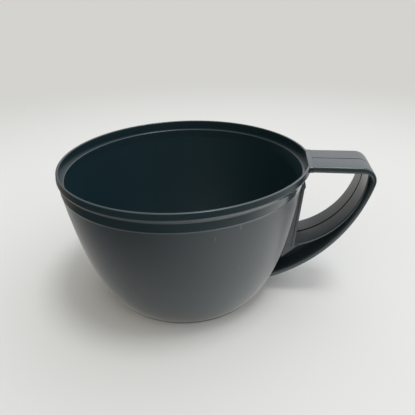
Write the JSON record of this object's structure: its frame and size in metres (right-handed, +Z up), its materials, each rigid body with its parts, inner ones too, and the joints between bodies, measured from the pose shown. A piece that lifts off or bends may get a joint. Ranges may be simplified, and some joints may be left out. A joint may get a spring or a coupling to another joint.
{
  "type": "plastic cup",
  "caption": "Wide low plastic cup with a stepped rim, a thin tapered bowl and a strip handle whose bar, bend and arm wrap around an inner grip strip.",
  "frame": {"origin": "centre of the base on the plane that the cup stands on", "axes": "+Z up along the cup's axis, +X from the axis out along the handle, +Y across the handle"},
  "size_m": [0.1265, 0.1006, 0.0601],
  "materials": {
    "bowl_plastic": "semi-gloss charcoal, moulded",
    "handle_plastic": "satin charcoal, moulded"
  },
  "bodies": {
    "root": {"bowl": "bowl_plastic", "handle_near_half": "handle_plastic", "handle_far_half": "handle_plastic"}
  },
  "joints": []
}
